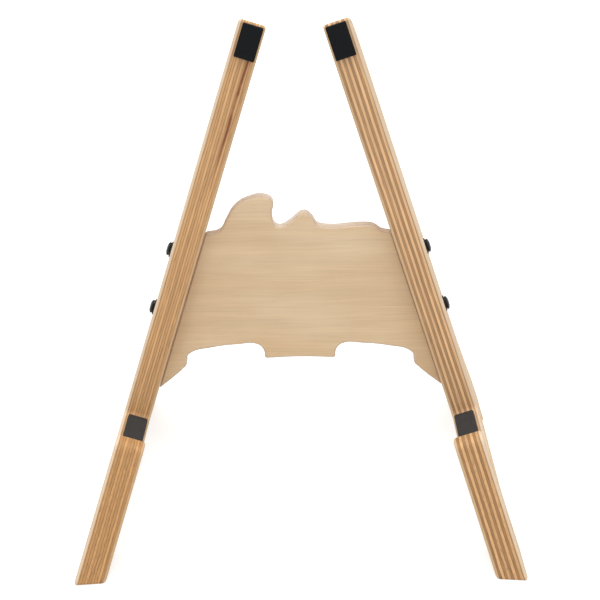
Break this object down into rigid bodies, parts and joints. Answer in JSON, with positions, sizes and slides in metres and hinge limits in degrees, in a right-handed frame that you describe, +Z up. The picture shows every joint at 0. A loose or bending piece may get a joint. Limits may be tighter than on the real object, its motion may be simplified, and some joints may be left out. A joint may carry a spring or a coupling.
{
  "type": "ukulele stand",
  "caption": "Small A-shaped plywood floor stand for a ukulele: leaning side panels with padded seat arms, joined by a wave-topped cross plate.",
  "frame": {"origin": "on the ground, midway between the side panels and midway between the front and rear ends of the feet", "axes": "+Z up; the stand faces -Y, so the lips are at -Y and the uprights lean back towards +Y; +X to the right seen from the front"},
  "size_m": [0.2272, 0.1963, 0.2491],
  "materials": {
    "panel_plywood": "sanded and oiled birch plywood, edge plies showing",
    "plate_plywood": "sanded birch face veneer, satin",
    "black_foam": "matt closed-cell foam",
    "grey_foam": "matt closed-cell foam",
    "black_steel": "black oxide",
    "brass_insert": "plain turned brass"
  },
  "bodies": {
    "root": {"side_panel_left": "panel_plywood", "side_panel_right": "panel_plywood", "cross_plate": "plate_plywood", "top_pad_left": "black_foam", "top_pad_right": "black_foam", "seat_pad_left": "grey_foam", "seat_pad_right": "grey_foam", "bolt_left_lower": "black_steel", "bolt_left_upper": "black_steel", "bolt_right_lower": "black_steel", "bolt_right_upper": "black_steel", "washer_left_lower": "black_steel", "washer_left_upper": "black_steel", "washer_right_lower": "black_steel", "washer_right_upper": "black_steel", "threaded_insert_left_lower": "brass_insert", "threaded_insert_left_upper": "brass_insert", "threaded_insert_right_lower": "brass_insert", "threaded_insert_right_upper": "brass_insert"}
  },
  "joints": []
}
